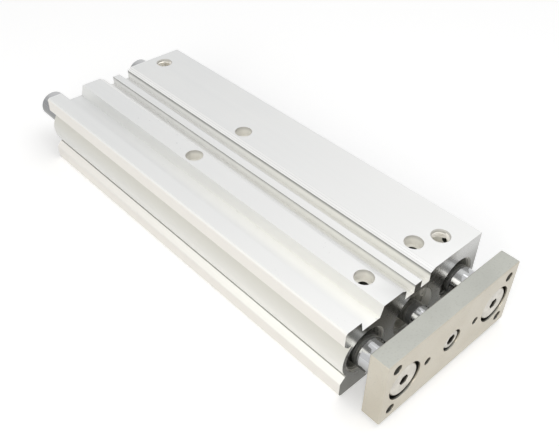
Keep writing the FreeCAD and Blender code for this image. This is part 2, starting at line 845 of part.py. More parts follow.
def make_guide_side(side, y):
    """Make what one guide rod runs in: two bushes, the felt, its ribbed holder, its snap ring."""
    inner_r = "guide_r + running_gap"
    tube(f"guide_bush_front_{side}", y, "bush_mouth - bush_length", "bush_mouth",
         inner_r, "bush_outer_r")
    tube(f"guide_bush_inner_{side}", y, "bush_floor", "bush_floor + bush_length",
         inner_r, "bush_outer_r")
    holder_r = "guide_mouth_r - seat_gap"
    holder_bore = "guide_mouth_r - holder_wall"
    rib_r = f"{holder_bore} - rib_height"
    rib_ends = [
        (f"holder_front - {rib} * rib_pitch", f"holder_front - {rib} * rib_pitch - rib_width")
        for rib in range(HOLDER_RIBS)
    ]
    section = [
        ("holder_back + holder_lip", holder_bore),
        ("holder_back + holder_lip", "guide_r + holder_gap"),
        ("holder_back", "guide_r + holder_gap"),
        ("holder_back", holder_r),
        ("holder_front", holder_r),
        ("holder_front", rib_r),
        (rib_ends[0][1], rib_r),
        (rib_ends[0][1], holder_bore),
    ]
    for front, back in rib_ends[1:]:
        section += [(front, holder_bore), (front, rib_r), (back, rib_r), (back, holder_bore)]
    turned(f"felt_holder_{side}", y, section)
    tube(f"felt_{side}", y, "bush_mouth", "holder_back", "guide_r + felt_gap", holder_r)
    snap_r = "guide_mouth_r + snap_bite - seat_gap"
    tube(f"felt_ring_{side}", y, "snap_back", "snap_back + snap_thick",
         f"{snap_r} - snap_width", snap_r)


def make_fixed_side():
    """Make everything that stays with the body."""
    make_body()
    make_port_plug("front", "front - front_port_depth")
    make_port_plug("rear", "rear + rear_port_depth")
    make_rod_cover()
    make_rod_seal()
    tube("rod_cover_bush", "0", "front_bumper_base", "rod_bush_front",
         "rod_r + running_gap", "rod_bush_r")
    make_gasket("rod_cover_gasket", "rod_cover_step + gasket_wall + gasket_groove / 2")
    make_retaining_ring("rod_cover_ring", "rod_cover_front")
    tube("front_bumper", "0", "front_stop", "front_bumper_base",
         "rod_r + rod_lip + bumper_rim", "nose_r - bumper_rim")
    make_head_cover()
    make_gasket("head_cover_gasket", "head_cover_back + gasket_wall + gasket_groove / 2")
    make_retaining_ring("head_cover_ring", "rear + rear_ring_depth")
    turned("rear_bumper", "0", rectangle("rear_bumper_base", "0", "rear_stop", "rear_bumper_r"))
    make_guide_side("left", "-guide_y")
    make_guide_side("right", "guide_y")


def make_carriage():
    """Make everything that moves with the plate."""
    make_plate()
    make_piston_rod()
    make_piston()
    make_piston_rings()
    make_bolt("piston_rod_bolt", "0", "rod_well_floor", "rod_bolt_r", "rod_bolt_length",
              "rod_bolt_head_r", "rod_bolt_head")
    for side, y in (("left", "-guide_y"), ("right", "guide_y")):
        make_rod(f"guide_rod_{side}", y, "guide_r", "guide_back", "guide_bolt_r",
                 "(guide_well_floor - guide_bolt_length)")
        make_bolt(f"guide_rod_bolt_{side}", y, "guide_well_floor", "guide_bolt_r",
                  "guide_bolt_length", "guide_bolt_head_r", "guide_bolt_head")


def check_document():
    """Stop if any object failed or any sub-part isn't one valid solid."""
    for item in doc.Objects:
        if "Invalid" in item.State or "Error" in item.State:
            raise RuntimeError(f"{item.Label} failed: {item.State}")
    for body in doc.findObjects("PartDesign::Body"):
        shape = body.Shape
        if shape.isNull() or not shape.isValid() or len(shape.Solids) != 1:
            raise RuntimeError(f"{body.Label} isn't one valid solid")


def export():
    """Write one STEP file for each sub-part."""
    os.makedirs("parts", exist_ok=True)
    for body in doc.findObjects("PartDesign::Body"):
        body.Shape.exportStep(f"parts/{body.Label}.step")
        print(f"{body.Label:24s} {body.Shape.Volume:12.1f} mm3")


make_fixed_side()
make_carriage()
doc.recompute()
check_document()
export()
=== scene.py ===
import json
import logging
import math
from collections.abc import Mapping, Sequence
from dataclasses import dataclass, field
from enum import Enum
from functools import cached_property
from typing import NamedTuple, Union

import bmesh
import bpy
from mathutils import Matrix, Vector


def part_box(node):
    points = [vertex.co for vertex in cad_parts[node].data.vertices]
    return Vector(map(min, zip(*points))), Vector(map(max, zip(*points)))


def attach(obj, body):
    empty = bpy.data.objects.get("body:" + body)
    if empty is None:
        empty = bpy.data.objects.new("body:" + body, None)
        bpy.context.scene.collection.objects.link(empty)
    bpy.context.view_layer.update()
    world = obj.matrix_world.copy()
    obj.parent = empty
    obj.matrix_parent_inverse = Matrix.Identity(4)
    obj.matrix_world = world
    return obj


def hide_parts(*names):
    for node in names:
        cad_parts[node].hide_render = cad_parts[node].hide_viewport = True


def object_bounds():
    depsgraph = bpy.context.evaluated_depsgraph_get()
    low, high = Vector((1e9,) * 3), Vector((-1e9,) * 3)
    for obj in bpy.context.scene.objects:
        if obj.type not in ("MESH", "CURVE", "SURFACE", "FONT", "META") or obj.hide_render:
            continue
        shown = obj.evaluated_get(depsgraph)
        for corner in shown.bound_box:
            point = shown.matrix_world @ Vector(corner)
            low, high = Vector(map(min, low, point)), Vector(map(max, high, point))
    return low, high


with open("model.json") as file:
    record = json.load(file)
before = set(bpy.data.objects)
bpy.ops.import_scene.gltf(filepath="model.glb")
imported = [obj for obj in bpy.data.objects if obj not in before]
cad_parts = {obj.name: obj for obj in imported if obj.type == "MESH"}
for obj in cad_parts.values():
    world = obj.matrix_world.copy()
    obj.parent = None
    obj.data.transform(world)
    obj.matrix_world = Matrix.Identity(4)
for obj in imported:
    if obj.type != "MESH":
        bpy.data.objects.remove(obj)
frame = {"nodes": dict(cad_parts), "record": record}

CAD_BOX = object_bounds()

Colour = tuple[float, float, float]
Value = Union["Signal", float, int, Sequence[float]]

MM = 0.001
FULL_TURN = 2.0 * math.pi
NOISE_MIDDLE = 0.5
X_AXIS = Vector((1, 0, 0))
Y_AXIS = Vector((0, 1, 0))
Z_AXIS = Vector((0, 0, 1))
CYLINDER = "cylinder"
CARRIAGE = "carriage"
BODY_SLOT = "body_aluminium"
PLATE_SLOT = "plate_steel"

log = logging.getLogger("guided_cylinder")


class Side(Enum):
    """The two guide sides, by the word that ends the names of their pieces."""

    LEFT = "left"
    RIGHT = "right"


class Grain(Enum):
    """The way that a noise is drawn out, as its scales along X, Y and Z."""

    EVEN = (1.0, 1.0, 1.0)
    ALONG = (0.02, 1.0, 1.0)
    ACROSS = (1.0, 0.02, 1.0)
    ROUND = (1.0, 0.002, 0.002)
    MILLED = (0.1, 1.0, 0.05)


class Pattern(NamedTuple):
    """A noise: how fine it is, per metre, how many finer layers it has, and its grain."""

    scale: float
    detail: float
    grain: Grain = Grain.EVEN


class Step(NamedTuple):
    """A soft step in a measure: the value half way up it, and half its width."""

    middle: float
    soft: float

    def moved(self, start: float) -> "Step":
        """Give the step in a measure that counts from elsewhere."""
        return Step(start + self.middle, self.soft)


class Wash(NamedTuple):
    """A colour, how much of it covers at most, and the step over which it comes in."""

    colour: Colour
    strength: float = 1.0
    over: Step | None = None


def darker(colour: Colour, share: float) -> Colour:
    """Give a colour with only a share of its light."""
    return tuple(share * part for part in colour)


# ---------------------------------------------------------------- shader graph


class Signal:
    """An output socket that takes part in ordinary Python arithmetic."""

    def __init__(self, graph: "Graph", socket: bpy.types.NodeSocket) -> None:
        """Keep the socket and the graph that new maths nodes go into."""
        self.graph = graph
        self.socket = socket

    def maths(self, operation: str, *others: Value) -> "Signal":
        """Add a Math node that takes this signal first and the others after it."""
        return self.graph.node("ShaderNodeMath", {"operation": operation}, [self, *others])

    def __add__(self, other: Value) -> "Signal":
        """Give self + other."""
        return self.maths("ADD", other)

    def __sub__(self, other: Value) -> "Signal":
        """Give self - other."""
        return self.maths("SUBTRACT", other)

    def __rsub__(self, other: float) -> "Signal":
        """Give other - self."""
        return self.graph.node("ShaderNodeMath", {"operation": "SUBTRACT"}, [other, self])

    def __mul__(self, other: Value) -> "Signal":
        """Give self * other."""
        return self.maths("MULTIPLY", other)

    def __neg__(self) -> "Signal":
        """Give self with the other sign."""
        return self * -1.0

    def __abs__(self) -> "Signal":
        """Give the size of self without its sign."""
        return self.maths("ABSOLUTE")

    __radd__ = __add__
    __rmul__ = __mul__

    def above(self, step: Step) -> "Signal":
        """Give a mask that rises from 0 to 1 over a step.

        Args:
            step: The step, in this signal's own measure.

        Returns:
            The mask.
        """
        low, high = step.middle - step.soft, step.middle + step.soft
        settings = {"interpolation_type": "SMOOTHSTEP"}
        return self.graph.node("ShaderNodeMapRange", settings, [self, low, high])

    def below(self, step: Step) -> "Signal":
        """Give the opposite of above."""
        return 1.0 - self.above(step)

    def between(self, low: Step, high: Step) -> "Signal":
        """Give a mask that is 1 from one step to another."""
        return self.above(low) * self.below(high)

    def off_pair(self, middle: float, half: float) -> "Signal":
        """Give the distance from the nearer of the places middle - half and middle + half."""
        return abs(abs(self - middle) - half)

    def hypot(self, other: "Signal") -> "Signal":
        """Give the length of the vector (self, other)."""
        return (self * self + other * other).maths("SQRT")

    def swing(self, amount: float) -> "Signal":
        """Give how far a noise lies from its middle, times an amount."""
        return (self - NOISE_MIDDLE) * amount


class Axes(NamedTuple):
    """The three parts of a vector."""

    x: Signal
    y: Signal
    z: Signal


class Graph:
    """The node tree of a material or a world, with its shader ready to be fed."""

    SHADERS = ("BSDF_PRINCIPLED", "BACKGROUND")
    MIX_FACTOR, MIX_FIRST, MIX_SECOND = 0, 6, 7
    MIX_RESULT = 2

    def __init__(self, owner: bpy.types.Material | bpy.types.World) -> None:
        """Give the owner its first nodes and find its shader among them.

        Args:
            owner: The material or world that the nodes belong to.
        """
        owner.use_nodes = True
        self.owner = owner
        self.tree = owner.node_tree
        self.shader = next(node for node in self.tree.nodes if node.type in self.SHADERS)

    @classmethod
    def material(cls, name: str) -> "Graph":
        """Start a material."""
        return cls(bpy.data.materials.new(name))

    def node(
        self,
        kind: str,
        settings: Mapping[str, object] | None = None,
        inputs: Sequence[Value] | Mapping[str | int, Value] = (),
        output: str | int = 0,
    ) -> Signal:
        """Add a node.

        Args:
            kind: The node's type.
            settings: Its own settings, which are set first.
            inputs: Values or signals for its sockets, in order or by name or number.
            output: The output that is wanted, by name or number.

        Returns:
            The wanted output.
        """
        made = self.tree.nodes.new(kind)
        for key, setting in (settings or {}).items():
            setattr(made, key, setting)
        pairs = inputs.items() if isinstance(inputs, Mapping) else enumerate(inputs)
        for key, value in pairs:
            self._feed(made.inputs[key], value)
        return Signal(self, made.outputs[output])

    def _feed(self, socket: bpy.types.NodeSocket, value: Value) -> None:
        """Link a signal to a socket, or set the socket's own value.

        Args:
            socket: The input socket.
            value: The signal or value; a colour may leave out its alpha.
        """
        if isinstance(value, Signal):
            self.tree.links.new(value.socket, socket)
        elif socket.type == "RGBA" and len(value) == 3:
            socket.default_value = (*value, 1.0)
        else:
            socket.default_value = value

    def _axes(self, vector: Signal) -> Axes:
        """Split a vector into its three parts."""
        split = self.node("ShaderNodeSeparateXYZ", None, [vector]).socket.node
        return Axes(*(Signal(self, socket) for socket in split.outputs))

    @cached_property
    def point(self) -> Signal:
        """Give the point on the object, in metres."""
        return self.node("ShaderNodeTexCoord", output="Object")

    @cached_property
    def place(self) -> Axes:
        """Give the three parts of the point on the object."""
        return self._axes(self.point)

    @cached_property
    def facing(self) -> Axes:
        """Give the three parts of the surface's direction."""
        return self._axes(self.node("ShaderNodeTexCoord", output="Normal"))

    def direct_look(self) -> Signal:
        """Find the rays of the eye, of mirrors and of glass.

        Returns:
            A mask that is 1 for those rays.
        """
        path = self.node("ShaderNodeLightPath").socket.node
        eye, mirror, glass = (
            Signal(self, path.outputs[f"Is {kind} Ray"])
            for kind in ("Camera", "Glossy", "Transmission"))
        return eye.maths("MAXIMUM", mirror).maths("MAXIMUM", glass)

    def noise(self, pattern: Pattern) -> Signal:
        """Give a noise that is fixed to the object.

        Args:
            pattern: How fine it is and how it is drawn out.

        Returns:
            Values round one half.
        """
        scales = {"Vector": self.point, "Scale": pattern.grain.value}
        drawn = self.node("ShaderNodeMapping", None, scales)
        inputs = {"Vector": drawn, "Scale": pattern.scale, "Detail": pattern.detail}
        return self.node("ShaderNodeTexNoise", None, inputs)

    def blend(self, amount: Value, first: Value, second: Value) -> Signal:
        """Mix two colours: an amount of 0 gives the first, and 1 the second."""
        inputs = {self.MIX_FACTOR: amount, self.MIX_FIRST: first, self.MIX_SECOND: second}
        return self.node("ShaderNodeMix", {"data_type": "RGBA"}, inputs, self.MIX_RESULT)

    def wash(self, tint: Value, measure: Signal, wash: Wash) -> Signal:
        """Lay a wash over a colour, by a mask or by the measure that the wash's step is in."""
        mask = measure if wash.over is None else measure.above(wash.over)
        return self.blend(mask * wash.strength, tint, wash.colour)

    def bump(self, height: Signal, depth: float, under: Signal | None = None) -> Signal:
        """Turn heights into a surface direction.

        Args:
            height: The height, between 0 and 1.
            depth: What a height of 1 measures, in metres.
            under: A bump that this one lies on.

        Returns:
            The direction, for the shader's Normal.
        """
        inputs: dict[str, Value] = {"Strength": 1.0, "Distance": depth, "Height": height}
        if under is not None:
            inputs["Normal"] = under
        return self.node("ShaderNodeBump", None, inputs)

    def finish(self, **sockets: Value) -> bpy.types.Material | bpy.types.World:
        """Feed the shader.

        Args:
            sockets: Values or signals by socket name, with underscores for blanks.

        Returns:
            The finished material or world.
        """
        for name, value in sockets.items():
            self._feed(self.shader.inputs[name.replace("_", " ")], value)
        return self.owner


# ------------------------------------------------------- places from the record


def mount_of(name: str) -> Mapping[str, object]:
    """Give one of the record's mounts."""
    return next(mount for mount in frame["record"]["mounts"] if mount["name"] == name)


def slot_of(node: str) -> str:
    """Give the record's material slot of a node."""
    return next(
        part["material_slot"] for part in frame["record"]["subparts"] if part["node"] == node)


@dataclass
class HolePattern:
    """A hole, or a rectangular pattern of equal holes, that the record states as a mount."""

    mount: str
    across: Vector = Vector()
    along: Vector = Vector()
    middle: Vector = field(init=False)
    outward: Vector = field(init=False)
    hole_r: float = field(init=False)
    half_across: float = field(init=False)
    half_along: float = field(init=False)

    def __post_init__(self) -> None:
        """Read the mount's place, direction and sizes from the record."""
        mount = mount_of(self.mount)
        sizes = mount["dims"]
        self.middle = Vector(mount["pos_m"])
        self.outward = Vector(mount["axis"])
        self.hole_r = (sizes.get("hole_r_mm") or sizes["r_mm"]) * MM
        self.half_across = sizes.get("spacing_x_mm", 0.0) / 2 * MM
        self.half_along = sizes.get("spacing_y_mm", 0.0) / 2 * MM

    def places(self) -> list[tuple[str, Vector]]:
        """List the holes.

        Returns:
            Each hole's own name and the middle of its mouth.
        """
        return [
            (f"{u_word}_{v_word}",
             self.middle + u * self.half_across * self.across + v * self.half_along * self.along)
            for u_word, u in (("low", -1), ("high", 1))
            for v_word, v in (("low", -1), ("high", 1))
        ]


@dataclass
class BodyForm:
    """Where the holes, grooves and flanks of the body lie."""

    well_r: float = 4.85 * MM
    port_r: float = 5.0 * MM
    flank_y: float = 11.4 * MM
    groove_half: float = 3.05 * MM
    groove_z: float = 35.4 * MM
    groove_y: float = field(init=False)
    top: float = field(init=False)
    base: HolePattern = field(init=False)
    rear_end: HolePattern = field(init=False)
    ports: tuple[HolePattern, HolePattern] = field(init=False)

    def __post_init__(self) -> None:
        """Read the patterns and grooves from the record and the top from the body's box."""
        self.groove_y = mount_of("sensor_groove_right")["pos_m"][1]
        self.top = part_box("body")[1].z
        self.base = HolePattern("base_holes", X_AXIS, Y_AXIS)
        self.rear_end = HolePattern("rear_holes", Y_AXIS, Z_AXIS)
        self.ports = tuple(HolePattern(f"port_{end}") for end in ("front", "rear"))

    def from_wells(self, place: Axes) -> Signal:
        """Measure how far a point lies from the nearest mounting hole's axis.

        Args:
            place: The point's three parts.

        Returns:
            The distance.
        """
        base = self.base
        across = place.x.off_pair(base.middle.x, base.half_across)
        return across.hypot(place.y.off_pair(base.middle.y, base.half_along))

    def from_ports(self, place: Axes) -> tuple[Signal, Signal]:
        """Measure how far a point lies from the nearest port's axis.

        Args:
            place: The point's three parts.

        Returns:
            The distance along the body, and the one across it.
        """
        front, rear = (port.middle for port in self.ports)
        along = place.x.off_pair((front.x + rear.x) / 2, (front.x - rear.x) / 2)
        return along, abs(place.y - front.y)


# ---------------------------------------------------------------------- finishes

# the first two colours are painted light; the third is painted shadow under lips and in creases, and
# also the die's fine lines
PAINTED_LIGHT_SATIN: Colour = (0.86, 0.86, 0.85)
PAINTED_LIGHT_CREAM: Colour = (0.98, 0.975, 0.92)
SHADOW_AND_DIE_LINE: Colour = (0.17, 0.17, 0.16)
PLATING_PIT: Colour = (0.36, 0.35, 0.32)


@dataclass(frozen=True)
class BulgedSide:
    """The body's side with the bulge: painted shade on the faces and under the lip, a painted
    highlight on the foot.

    Steps are heights over the base, and those called y are places across the body.
    """

    outside_y: Step = Step(-38.0 * MM, 1.0 * MM)
    outside_top: Step = Step(41.4 * MM, 0.2 * MM)
    shadow: Wash = Wash((0.66, 0.65, 0.59), 0.9)
    shadow_low: Step = Step(22.0 * MM, 9.0 * MM)
    shadow_top: Step = Step(32.0 * MM, 0.6 * MM)
    # painted highlight on the foot's top, stronger towards the front
    shelf_light: Wash = Wash(PAINTED_LIGHT_CREAM)
    shelf_low: Step = Step(8.8 * MM, 0.3 * MM)
    shelf_top: Step = Step(11.9 * MM, 0.4 * MM)
    # painted shadow line in the crease at the foot's top
    crease_shadow: Wash = Wash(SHADOW_AND_DIE_LINE, 0.7)
    crease_low: Step = Step(11.7 * MM, 0.2 * MM)
    crease_top: Step = Step(12.3 * MM, 0.2 * MM)
    # painted shade on the foot's face and the lip's face
    face: Wash = Wash((0.86, 0.835, 0.79))
    face_y: Step = Step(-46.2 * MM, 0.2 * MM)
    foot_top: Step = Step(8.7 * MM, 0.3 * MM)
    lip_low: Step = Step(33.8 * MM, 0.4 * MM)
    # painted light on the floor of the recess beside the lip, towards the front
    floor: Wash = Wash(PAINTED_LIGHT_CREAM, 0.7)
    floor_outer_y: Step = Step(-31.0 * MM, 3.0 * MM)
    floor_inner_y: Step = Step(-24.8 * MM, 0.2 * MM)
    floor_low: Step = Step(35.5 * MM, 0.2 * MM)
    floor_top: Step = Step(36.3 * MM, 0.2 * MM)

    def shade(self, graph: Graph, tint: Signal, front: Signal) -> Signal:
        """Paint light and shade on the side, and on the floor of the recess in the top beside it.

        Args:
            graph: The graph to add to.
            tint: The colour so far.
            front: A mask that rises towards the front end.

        Returns:
            The shaded colour.
        """
        _, y, z = graph.place
        outside = y.below(self.outside_y) * z.below(self.outside_top)
        tint = graph.wash(tint, outside * z.between(self.shadow_low, self.shadow_top), self.shadow)
        shelf_light = outside * z.between(self.shelf_low, self.shelf_top)
        tint = graph.blend(shelf_light, tint, graph.wash(self.face.colour, front, self.shelf_light))
        tint = graph.wash(tint, outside * z.between(self.crease_low, self.crease_top), self.crease_shadow)
        # painted shade on the foot's face and the lip's face
        faces = z.below(self.foot_top) + z.above(self.lip_low) * y.below(self.face_y)
        tint = graph.wash(tint, outside * faces, self.face)
        # painted light on the recess floor, towards the front
        floor = y.between(self.floor_outer_y, self.floor_inner_y)
        floor = floor * z.between(self.floor_low, self.floor_top)
        return graph.wash(tint, floor * front, self.floor)


@dataclass(frozen=True)
class GroovedTop:
    """The sensor grooves and the flanks beside them, with the die's fine lines and painted light and
    shade.

    The step flank_low counts from the body's top, lip_low and floor count from the grooves'
    floor, and wall counts from half a groove's width.
    """

    # painted highlight along the flanks
    flank: Wash = Wash(PAINTED_LIGHT_SATIN)
    flank_soft: float = 0.15 * MM
    flank_low: Step = Step(-1.75 * MM, 0.05 * MM)
    line: Wash = Wash(SHADOW_AND_DIE_LINE, 0.45)
    line_pitch: float = 1.05 * MM
    line_crest: Step = Step(0.94, 0.05)
    # painted light and shade in the grooves: greyer at the back, lighter towards the front, a
    # painted shadow under the lip
    groove_light_back: Colour = (0.92, 0.92, 0.905)
    front: Wash = Wash((0.99, 0.985, 0.945))
    lip: Wash = Wash(SHADOW_AND_DIE_LINE, 0.95)
    lip_low: Step = Step(3.9 * MM, 1.3 * MM)
    wall: Step = Step(0.05 * MM, 0.02 * MM)
    floor: Step = Step(-0.4 * MM, 0.1 * MM)

    def grooves(self, graph: Graph, form: BodyForm) -> Signal:
        """Find the grooves' floors and walls.

        Args:
            graph: The graph to add to.
            form: The places of the grooves.

        Returns:
            A mask of them.
        """
        _, y, z = graph.place
        across = y.off_pair(0.0, form.groove_y).below(self.wall.moved(form.groove_half))
        return across * z.above(self.floor.moved(form.groove_z))

    def shade(
        self, graph: Graph, form: BodyForm, grooves: Signal, tint: Signal, front: Signal
    ) -> Signal:
        """Paint a highlight on the flanks, draw the lines along them, and paint light and shade in
        the grooves.

        Args:
            graph: The graph to add to.
            form: The places of the grooves and flanks.
            grooves: The mask of the grooves.
            tint: The colour so far.
            front: A mask that rises towards the front end.

        Returns:
            The shaded colour.
        """
        _, y, z = graph.place
        reach = abs(y)
        flank = reach.below(Step(form.flank_y, self.flank_soft))
        flank = flank * z.above(self.flank_low.moved(form.top))
        # painted highlight on the flanks
        tint = graph.wash(tint, flank, self.flank)
        wave = ((reach - form.flank_y) * (FULL_TURN / self.line_pitch)).maths("COSINE")
        tint = graph.wash(tint, flank * wave.above(self.line_crest), self.line)
        # painted light in the grooves towards the front, and a painted shadow under the lip
        groove_light_and_shade = graph.wash(self.groove_light_back, front, self.front)
        groove_light_and_shade = graph.wash(groove_light_and_shade, z.above(self.lip_low.moved(form.groove_z)), self.lip)
        return graph.blend(grooves, tint, groove_light_and_shade)


@dataclass(frozen=True)
class BoredWalls:
    """Painted light on the cut walls of the wells and ports, painted shade at their mouths and
    deeper in.

    Steps called top, and the rim's, count from the body's top, and through_low from its base.
    The others count outwards, through_wall from a hole's wall and the rest from a port's axis.
    """

    # painted light on the walls of the wells and ports
    painted_wall_light: Colour = (0.98, 0.965, 0.91)
    # painted shade on those walls near their mouths
    rim: Wash = Wash((0.42, 0.41, 0.38), 0.7)
    rim_low: Step = Step(-1.6 * MM, 1.4 * MM)
    # painted shade on the deep walls of the through holes and the passages
    deep_shade: Wash = Wash((0.07, 0.07, 0.06))
    wall_soft: float = 0.02 * MM
    wall_top: Step = Step(-0.05 * MM, 0.02 * MM)
    through_wall: Step = Step(0.1 * MM, 0.05 * MM)
    through_top: Step = Step(-5.0 * MM, 0.1 * MM)
    through_low: Step = Step(1.0 * MM, 0.1 * MM)
    passage_half: Step = Step(2.0 * MM, 0.1 * MM)
    passage_start: Step = Step(4.45 * MM, 0.05 * MM)
    passage_end: Step = Step(10.5 * MM, 0.1 * MM)
    passage_top: Step = Step(-2.4 * MM, 0.1 * MM)

    def walls(self, graph: Graph, form: BodyForm) -> Signal:
        """Find the walls of the wells and ports.

        Args:
            graph: The graph to add to.
            form: The places of the holes.

        Returns:
            A mask of them.
        """
        wells = form.from_wells(graph.place).below(Step(form.well_r, self.wall_soft))
        along, across = form.from_ports(graph.place)
        ports = along.hypot(across).below(Step(form.port_r, self.wall_soft))
        return wells.maths("MAXIMUM", ports) * graph.place.z.below(self.wall_top.moved(form.top))

    def through_holes(self, graph: Graph, form: BodyForm) -> Signal:
        """Find the deep walls of the mounting holes under the wells.

        Args:
            graph: The graph to add to.
            form: The places of the holes.

        Returns:
            A mask of them.
        """
        z = graph.place.z
        near = form.from_wells(graph.place).below(self.through_wall.moved(form.base.hole_r))
        return near * z.below(self.through_top.moved(form.top)) * z.above(self.through_low)

    def passages(self, graph: Graph, form: BodyForm) -> Signal:
        """Find the passages that run sideways out of the ports.

        Args:
            graph: The graph to add to.
            form: The places of the ports.

        Returns:
            A mask of them.
        """
        along, across = form.from_ports(graph.place)
        mouth = along.below(self.passage_half) * across.between(self.passage_start, self.passage_end)
        return mouth * graph.place.z.below(self.passage_top.moved(form.top))

    def shade(self, graph: Graph, form: BodyForm, walls: Signal, tint: Signal) -> Signal:
        """Paint light and shade on the walls of the holes.

        Args:
            graph: The graph to add to.
            form: The places of the holes.
            walls: The mask of the wells' and ports' walls.
            tint: The colour so far.

        Returns:
            The shaded colour.
        """
        # painted light on the walls, with painted shade near the mouths
        rim = graph.place.z.above(self.rim_low.moved(form.top))
        tint = graph.blend(walls, tint, graph.wash(self.painted_wall_light, rim, self.rim))
        # painted shade deeper in
        passages = self.passages(graph, form)
        deep_shaded = self.through_holes(graph, form).maths("MAXIMUM", passages)
        return graph.wash(tint, deep_shaded, self.deep_shade)


@dataclass(frozen=True)
class MilledEnds:
    """Milled ends with cutter strokes, in painted shade, with painted light high on the ports' side.
    """

    # painted shade: the ends are darker than the same aluminium elsewhere
    colour: Colour = (0.26, 0.26, 0.245)
    strokes: Pattern = Pattern(900.0, 3.0, Grain.MILLED)
    # the cutter strokes, and painted shade low down
    shade: Wash = Wash((0.18, 0.18, 0.165), 0.5)
    shade_top: Step = Step(11.0 * MM, 5.0 * MM)
    # painted light high up on the ports' side
    light: Wash = Wash((0.60, 0.60, 0.59), 0.8)
    light_y: Step = Step(14.0 * MM, 16.0 * MM)
    light_low: Step = Step(31.0 * MM, 9.0 * MM)

    def tint(self, graph: Graph) -> Signal:
        """Mix the colour of the ends.

        Args:
            graph: The graph to add to.

        Returns:
            The colour.
        """
        _, y, z = graph.place
        tint = graph.wash(self.colour, graph.noise(self.strokes), self.shade)
        tint = graph.wash(tint, y.above(self.light_y) * z.above(self.light_low), self.light)
        # painted shade towards the base
        return graph.wash(tint, z.below(self.shade_top), self.shade)


@dataclass(frozen=True)
class Anodised:
    """Clear anodised extrusion: satin, with die lines along it, milled ends, and painted light and
    shade.
    """

    form: BodyForm
    bulged_side: BulgedSide = BulgedSide()
    grooved_top: GroovedTop = GroovedTop()
    bored_walls: BoredWalls = BoredWalls()
    milled_ends: MilledEnds = MilledEnds()
    square_on: Step = Step(0.9, 0.05)
    side_lean: Step = Step(0.45, 0.3)
    frontward: Step = Step(-40.0 * MM, 110.0 * MM)
    colour: Colour = (0.76, 0.765, 0.76)
    bands: Pattern = Pattern(260.0, 3.0, Grain.ALONG)
    band: Wash = Wash((0.71, 0.72, 0.725), 0.35, Step(0.5, 0.3))
    clouds: Pattern = Pattern(28.0, 4.0)
    cloud: Wash = Wash((0.80, 0.80, 0.78), 0.25, Step(0.55, 0.15))
    # painted light towards the front end
    front: Wash = Wash(PAINTED_LIGHT_SATIN, 0.8)
    # painted light on the faces that look to the bulged side, stronger towards the front
    side_light_back: Colour = (0.82, 0.825, 0.81)
    side_light_front: Wash = Wash((0.94, 0.935, 0.90))
    side_light_cover: float = 0.85
    speck: Wash = Wash((0.45, 0.45, 0.46), 0.5)
    speck_groups: Pattern = Pattern(22.0, 2.0)
    speck_group: Step = Step(0.60, 0.05)
    speck_marks: Pattern = Pattern(620.0, 3.0)
    speck_mark: Step = Step(0.69, 0.03)
    roughness: float = 0.42
    band_roughness: float = 0.12
    cloud_roughness: float = 0.10
    end_polish: float = 0.17
    metallic: float = 0.7
    end_metal: float = 0.25
    wall_dulling: float = 0.65
    groove_dulling: float = 0.5
    side_dulling: float = 0.3
    die_lines: Pattern = Pattern(2600.0, 2.0, Grain.ALONG)
    die_depth: float = 0.004 * MM
    blasting: Pattern = Pattern(9000.0, 2.0)
    blast_depth: float = 0.0015 * MM

    def build(self) -> bpy.types.Material:
        """Make the material.

        Returns:
            The material.
        """
        graph = Graph.material("anodised_extrusion")
        walls = self.bored_walls.walls(graph, self.form)
        grooves = self.grooved_top.grooves(graph, self.form)
        ends = abs(graph.facing.x).above(self.square_on) * (1.0 - walls)
        side = (-graph.facing.y).above(self.side_lean)
        front = graph.place.x.above(self.frontward)
        bands = graph.noise(self.bands)
        clouds = graph.noise(self.clouds)
        tint = graph.wash(graph.wash(self.colour, bands, self.band), clouds, self.cloud)
        # painted light towards the front end
        tint = graph.wash(tint, front, self.front)
        # painted light on the faces that look to the bulged side
        side_light_tint = graph.wash(self.side_light_back, front, self.side_light_front)
        tint = graph.blend(side * self.side_light_cover, tint, side_light_tint)
        # painted light and shade on the bulged side and in the grooves
        tint = self.bulged_side.shade(graph, tint, front)
        tint = self.grooved_top.shade(graph, self.form, grooves, tint, front)
        tint = graph.wash(tint, self.specks(graph), self.speck)
        # painted light and shade on the walls of the holes
        tint = self.bored_walls.shade(graph, self.form, walls, tint)
        # the ends, in painted shade and light
        tint = graph.blend(ends, tint, self.milled_ends.tint(graph))
        rough = bands.swing(self.band_roughness) + clouds.swing(self.cloud_roughness)
        rough = rough + self.roughness - ends * self.end_polish
        metal = self.metallic + ends * self.end_metal - walls * self.wall_dulling
        metal = metal - grooves * self.groove_dulling - side * self.side_dulling
        return graph.finish(
            Base_Color=tint, Metallic=metal, Roughness=rough, Normal=self.relief(graph))

    def relief(self, graph: Graph) -> Signal:
        """Make the die lines, and the blasted grain that lies on them."""
        lines = graph.bump(graph.noise(self.die_lines), self.die_depth)
        return graph.bump(graph.noise(self.blasting), self.blast_depth, lines)

    def specks(self, graph: Graph) -> Signal:
        """Find a few small handling marks on the top, in loose groups.

        Args:
            graph: The graph to add to.

        Returns:
            A mask of them.
        """
        groups = graph.noise(self.speck_groups).above(self.speck_group)
        marks = graph.noise(self.speck_marks).above(self.speck_mark)
        return groups * marks * graph.facing.z.above(self.square_on)


